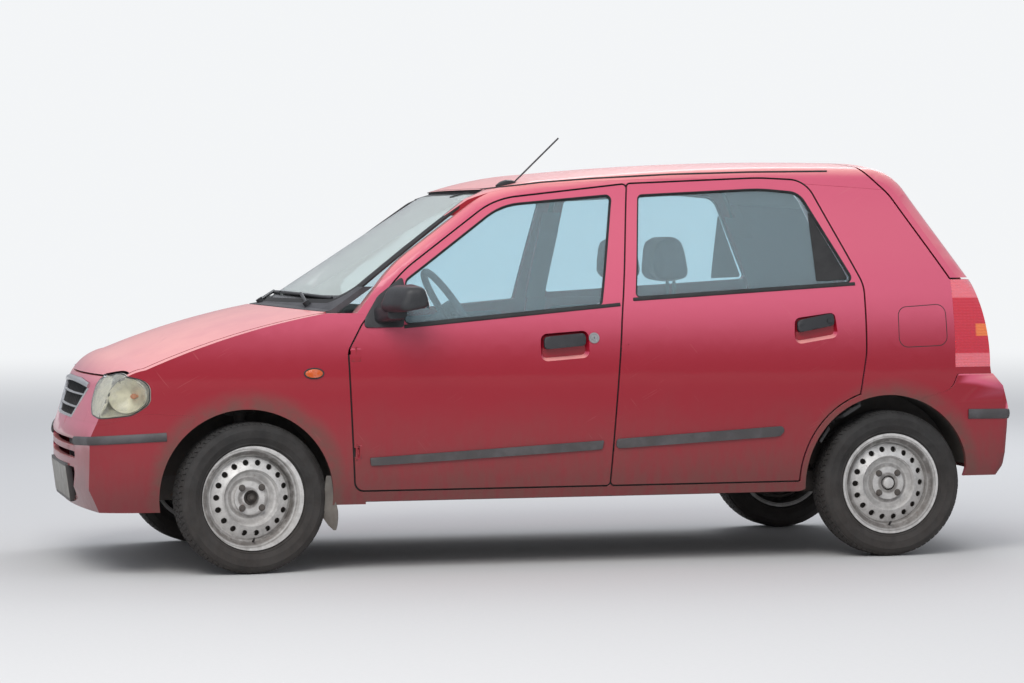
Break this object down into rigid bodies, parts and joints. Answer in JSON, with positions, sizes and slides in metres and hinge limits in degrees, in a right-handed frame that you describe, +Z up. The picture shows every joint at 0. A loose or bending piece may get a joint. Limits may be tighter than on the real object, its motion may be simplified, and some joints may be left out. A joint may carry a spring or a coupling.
{
  "type": "five-door hatchback car",
  "caption": "Small five-door hatchback with turning wheels, steered front wheels, hinged doors, bonnet and tailgate, and a hollow cabin with seats.",
  "frame": {"origin": "on the floor, below the middle of the car", "axes": "+X to the rear, +Y to the car's right side, +Z up"},
  "size_m": [3.495, 1.81, 1.5324],
  "materials": {
    "paint": "gloss",
    "underbody": "matte",
    "steel": "satin",
    "castings": "matte",
    "tyre": "matte",
    "glass": "gloss",
    "trim": "matte",
    "lamp": "gloss",
    "tail_lamp": "gloss",
    "grille": "gloss",
    "cabin": "matte",
    "seats": "matte",
    "rubber": "matte",
    "aluminium": "satin"
  },
  "bodies": {
    "body": {"side_frames": "paint", "roof_panel": "paint", "front_panel": "paint", "grille": "grille", "front_bumper": "paint", "rear_bumper": "paint", "windscreen": "glass", "floor_pan": "underbody", "front_subframe": "castings", "rear_axle": "castings", "engine": "castings", "radiator": "aluminium", "dashboard": "cabin", "rear_seat": "seats", "fuel_tank": "underbody", "exhaust": "castings", "aerial": "trim", "cowl_panel": "trim", "front_fenders": "paint", "headlamps": "lamp", "tail_lamps": "tail_lamp", "front_wheelhouses": "underbody", "rear_wheelhouses": "underbody", "front_seats": "seats", "mud_flaps": "rubber", "wipers": "trim"},
    "knuckle_left": {"knuckle_left": "castings"},
    "wheel_front_left": {"tyre_front_left": "tyre", "rim_front_left": "steel"},
    "wheel_rear_left": {"tyre_rear_left": "tyre", "rim_rear_left": "steel"},
    "door_front_left": {"door_front_left": "paint", "door_glass_front_left": "glass", "door_fittings_front_left": "trim"},
    "door_rear_left": {"door_rear_left": "paint", "door_glass_rear_left": "glass", "door_fittings_rear_left": "trim"},
    "knuckle_right": {"knuckle_right": "castings"},
    "wheel_front_right": {"tyre_front_right": "tyre", "rim_front_right": "steel"},
    "wheel_rear_right": {"tyre_rear_right": "tyre", "rim_rear_right": "steel"},
    "door_front_right": {"door_front_right": "paint", "door_glass_front_right": "glass", "door_fittings_front_right": "trim"},
    "door_rear_right": {"door_rear_right": "paint", "door_glass_rear_right": "glass", "door_fittings_rear_right": "trim"},
    "bonnet": {"bonnet": "paint"},
    "tailgate": {"tailgate": "paint", "tailgate_glass": "glass"},
    "steering_wheel": {"steering_wheel": "cabin"}
  },
  "joints": [
    {"name": "steer_left", "type": "hinge", "parent": "body", "child": "knuckle_left", "pos_m": [-1.1525, -0.6, 0.176], "axis": [0, 0.2588, 0.9659], "range_deg": [-39, 27]},
    {"name": "spin_front_left", "type": "hinge", "parent": "knuckle_left", "child": "wheel_front_left", "pos_m": [-1.14527, -0.64713, 0.2659], "axis": [-0.101, 0.9949, 0.0014], "continuous": true},
    {"name": "spin_rear_left", "type": "hinge", "parent": "body", "child": "wheel_rear_left", "pos_m": [1.2075, -0.645, 0.266], "axis": [0, 1, 0], "continuous": true},
    {"name": "hinge_door_front_left", "type": "hinge", "parent": "body", "child": "door_front_left", "pos_m": [-0.774, -0.7235, 0.6], "axis": [0, 0, -1], "range_deg": [0, 65]},
    {"name": "hinge_door_rear_left", "type": "hinge", "parent": "body", "child": "door_rear_left", "pos_m": [0.1974, -0.728, 0.6], "axis": [-0.0822, 0, -0.9966], "range_deg": [0, 65]},
    {"name": "steer_right", "type": "hinge", "parent": "body", "child": "knuckle_right", "pos_m": [-1.1525, 0.6, 0.176], "axis": [0, -0.2588, 0.9659], "range_deg": [-39, 27]},
    {"name": "spin_front_right", "type": "hinge", "parent": "knuckle_right", "child": "wheel_front_right", "pos_m": [-1.15973, 0.64713, 0.2659], "axis": [-0.101, 0.9949, -0.0014], "continuous": true},
    {"name": "spin_rear_right", "type": "hinge", "parent": "body", "child": "wheel_rear_right", "pos_m": [1.2075, 0.645, 0.266], "axis": [0, 1, 0], "continuous": true},
    {"name": "hinge_door_front_right", "type": "hinge", "parent": "body", "child": "door_front_right", "pos_m": [-0.774, 0.7235, 0.6], "axis": [0, 0, 1], "range_deg": [0, 65]},
    {"name": "hinge_door_rear_right", "type": "hinge", "parent": "body", "child": "door_rear_right", "pos_m": [0.1974, 0.728, 0.6], "axis": [0.0822, 0, 0.9966], "range_deg": [0, 65]},
    {"name": "hinge_bonnet", "type": "hinge", "parent": "body", "child": "bonnet", "pos_m": [-0.868, 0, 0.905], "axis": [0, 1, 0], "range_deg": [0, 48]},
    {"name": "hinge_tailgate", "type": "hinge", "parent": "body", "child": "tailgate", "pos_m": [1.154, 0, 1.45], "axis": [0, -1, 0], "range_deg": [0, 75]},
    {"name": "turn_steering_wheel", "type": "hinge", "parent": "body", "child": "steering_wheel", "pos_m": [-0.343, -0.33, 0.896], "axis": [0.8387, 0, 0.5446], "range_deg": [-624, 432]}
  ],
  "couplings": [
    {"joint": "steer_right", "follows": "steer_left", "ratio": 1},
    {"joint": "turn_steering_wheel", "follows": "steer_left", "ratio": 16}
  ]
}
